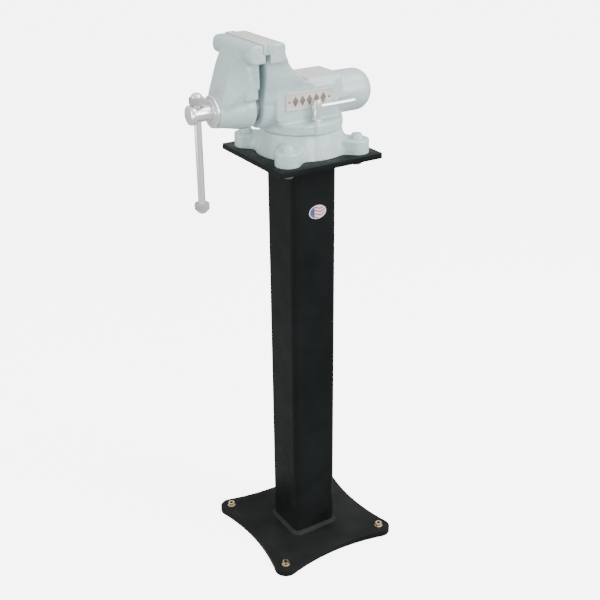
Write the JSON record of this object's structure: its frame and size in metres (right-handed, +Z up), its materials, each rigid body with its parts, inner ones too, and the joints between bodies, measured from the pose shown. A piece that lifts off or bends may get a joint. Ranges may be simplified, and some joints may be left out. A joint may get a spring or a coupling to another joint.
{
  "type": "swivel-base bullet vise on a floor stand",
  "caption": "Swivel-base bench vise with a closed bullet-shaped slide housing, bolted to a square-tube floor stand with a lobed floor plate.",
  "frame": {"origin": "centre of the floor plate's underside, on the floor and on the post's and the swivel's axis", "axes": "+Z up, X along the jaws, the screw along Y with its handle at the -Y end"},
  "size_m": [0.2934, 0.382, 1.106],
  "materials": {
    "stand_paint": "satin black powder coat",
    "weld_paint": "black paint over a weld bead",
    "yellow_zinc": "yellow zinc plate",
    "sticker": "printed vinyl",
    "cast_enamel": "pale hammered enamel over cast iron",
    "bolt_enamel": "pale enamel",
    "machined_steel": "ground steel",
    "nameplate_metal": "satin",
    "dark_steel": "oiled steel",
    "bronze": "oiled bronze",
    "chrome_plate": "bright plate",
    "ring_rubber": "matt"
  },
  "bodies": {
    "stand": {"base_plate": "stand_paint", "post_tube": "stand_paint", "top_plate": "stand_paint", "foot_weld": "weld_paint", "head_weld": "weld_paint", "floor_washers": "yellow_zinc", "floor_nuts": "yellow_zinc", "post_sticker": "sticker", "swivel_base": "cast_enamel", "mount_bolts": "bolt_enamel", "mount_washers": "bolt_enamel", "mount_nuts": "dark_steel", "mount_lower_washers": "dark_steel"},
    "vise_body": {"rear_casting": "cast_enamel", "rear_jaw_insert": "machined_steel", "rear_insert_screws": "dark_steel", "spindle_nut": "bronze", "nut_set_screw": "dark_steel", "slide_key": "dark_steel", "nameplate": "nameplate_metal", "nameplate_rivets": "nameplate_metal", "lock_t_nuts": "dark_steel"},
    "front_jaw": {"front_casting": "cast_enamel", "front_jaw_insert": "machined_steel", "front_insert_screws": "dark_steel", "thrust_washer": "bronze", "spindle_collar": "chrome_plate", "collar_screws": "chrome_plate", "spindle_ring": "chrome_plate"},
    "spindle": {"spindle_screw": "chrome_plate"},
    "handle": {"handle_bar": "chrome_plate", "handle_rings": "ring_rubber", "handle_caps": "chrome_plate"},
    "right_lock": {"lock_bolt_right": "chrome_plate"},
    "right_lock_bar": {"lock_bar_right": "chrome_plate"},
    "left_lock": {"lock_bolt_left": "chrome_plate"},
    "left_lock_bar": {"lock_bar_left": "chrome_plate"}
  },
  "joints": [
    {"name": "swivel", "type": "hinge", "parent": "stand", "child": "vise_body", "pos_m": [0, 0, 0.93], "axis": [0, 0, 1], "continuous": true},
    {"name": "jaw_slide", "type": "slide", "parent": "vise_body", "child": "front_jaw", "axis": [0, -1, 0], "range_m": [0, 0.127]},
    {"name": "screw_turn", "type": "hinge", "parent": "front_jaw", "child": "spindle", "pos_m": [0, -0.2, 0.983], "axis": [0, -1, 0], "range_deg": [0, 7200]},
    {"name": "handle_slide", "type": "slide", "parent": "spindle", "child": "handle", "axis": [0, 0, 1], "range_m": [0, 0.148]},
    {"name": "right_lock_turn", "type": "hinge", "parent": "vise_body", "child": "right_lock", "pos_m": [0.063, -0.003, 0.965], "axis": [0, 0, 1], "range_deg": [-180, 0]},
    {"name": "right_lock_bar_slide", "type": "slide", "parent": "right_lock", "child": "right_lock_bar", "axis": [0, -1, 0], "range_m": [0, 0.073]},
    {"name": "left_lock_turn", "type": "hinge", "parent": "vise_body", "child": "left_lock", "pos_m": [-0.063, -0.003, 0.965], "axis": [0, 0, -1], "range_deg": [-180, 0]},
    {"name": "left_lock_bar_slide", "type": "slide", "parent": "left_lock", "child": "left_lock_bar", "axis": [0, -1, 0], "range_m": [0, 0.073]}
  ],
  "couplings": [
    {"joint": "jaw_slide", "follows": "screw_turn", "m_per_rad": 0.0010106}
  ]
}
